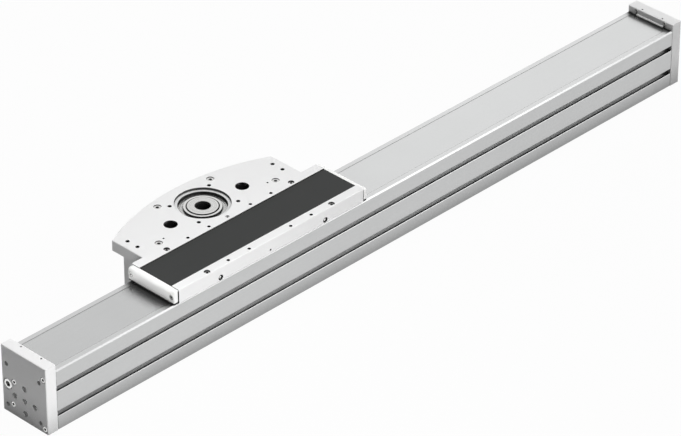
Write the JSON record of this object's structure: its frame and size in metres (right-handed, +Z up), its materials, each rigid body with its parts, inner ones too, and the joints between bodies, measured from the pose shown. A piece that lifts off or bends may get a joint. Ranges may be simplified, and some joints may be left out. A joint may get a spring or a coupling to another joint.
{
  "type": "cantilever linear axis",
  "caption": "Toothed belt cantilever axis: a slotted profile with cover strip slides through a drive head with a vertical hub and D-shaped drive plate.",
  "frame": {"origin": "middle of the profile's underside, halfway between the two end caps", "axes": "+X along the profile away from the short end, +Y to the side with the drive housing, +Z up"},
  "size_m": [1.28, 0.1904, 0.1172],
  "materials": {
    "anodised_profile": "clear anodised extrusion, fine lines along its length",
    "milled_plate": "bright milled and anodised plate",
    "milled_cap": "milled and anodised end cap",
    "housing": "anodised housing",
    "steel_strip": "rolled stainless strip",
    "black_panel": "matt black anodised panel",
    "light_plastic": "pale moulded end cover",
    "seal_plastic": "black wiper and seal plastic",
    "green_plastic": "moulded polymer of the ball return ends",
    "belt": "black polyurethane belt",
    "bearing_steel": "ground bearing steel",
    "ground_steel": "ground and hardened steel",
    "screw_steel": "zinc plated screw"
  },
  "bodies": {
    "drive_head": {"head_plate": "milled_plate", "top_panel": "black_panel", "end_cover_near": "light_plastic", "end_cover_far": "light_plastic", "end_cover_screws_near": "screw_steel", "end_cover_screws_far": "screw_steel", "strip_wiper_near": "seal_plastic", "strip_wiper_far": "seal_plastic", "saddle_screws": "screw_steel", "lube_nipples": "screw_steel", "centring_sleeves": "ground_steel", "carriage_near": "ground_steel", "carriage_far": "ground_steel", "carriage_end_plates_near": "green_plastic", "carriage_end_plates_far": "green_plastic", "carriage_screws": "screw_steel", "strip_guide_near": "seal_plastic", "strip_guide_far": "seal_plastic", "cover_strip_arch": "steel_strip", "drive_housing": "housing", "bottom_cover": "housing", "housing_screws": "screw_steel", "belt_loop": "belt", "shaft_bearing_outer_upper": "bearing_steel", "shaft_bearing_outer_lower": "bearing_steel", "idler_axle_near": "ground_steel", "idler_axle_far": "ground_steel"},
    "profile": {"cantilever_profile": "anodised_profile", "end_cap_near": "milled_cap", "end_cap_far": "milled_cap", "end_cap_screws_near": "screw_steel", "end_cap_screws_far": "screw_steel", "tension_screw_near": "screw_steel", "tension_screw_far": "screw_steel", "strip_clamp_near": "milled_cap", "strip_clamp_far": "milled_cap", "strip_clamp_screws_near": "screw_steel", "strip_clamp_screws_far": "screw_steel", "belt_clamp_near": "housing", "belt_clamp_far": "housing", "guide_rail": "ground_steel", "guide_rail_screws": "screw_steel", "cover_strip_near": "steel_strip", "cover_strip_far": "steel_strip", "belt_run_near": "belt", "belt_run_far": "belt"},
    "pulley": {"drive_shaft": "ground_steel", "drive_pulley": "milled_cap", "shaft_bearing_inner_upper": "bearing_steel", "shaft_bearing_inner_lower": "bearing_steel"},
    "idler_near": {"idler_roller_near": "ground_steel", "idler_bearings_near": "bearing_steel"},
    "idler_far": {"idler_roller_far": "ground_steel", "idler_bearings_far": "bearing_steel"}
  },
  "joints": [
    {"name": "profile_slide", "type": "slide", "parent": "drive_head", "child": "profile", "axis": [1, 0, 0], "range_m": [-0.645, 0.205], "deforming": ["cover_strip_near", "cover_strip_far", "belt_run_near", "belt_run_far"]},
    {"name": "pulley_spin", "type": "hinge", "parent": "drive_head", "child": "pulley", "pos_m": [-0.2247, 0.089, 0.046], "axis": [0, 0, 1], "range_deg": [-370, 1162]},
    {"name": "idler_near_spin", "type": "hinge", "parent": "drive_head", "child": "idler_near", "pos_m": [-0.2747, 0.0584, 0.046], "axis": [0, 0, 1], "range_deg": [-1749, 557]},
    {"name": "idler_far_spin", "type": "hinge", "parent": "drive_head", "child": "idler_far", "pos_m": [-0.1747, 0.0584, 0.046], "axis": [0, 0, 1], "range_deg": [-1749, 557]}
  ],
  "couplings": [
    {"joint": "pulley_spin", "follows": "profile_slide", "rad_per_m": -31.416},
    {"joint": "idler_near_spin", "follows": "profile_slide", "rad_per_m": 47.281},
    {"joint": "idler_far_spin", "follows": "profile_slide", "rad_per_m": 47.281}
  ]
}
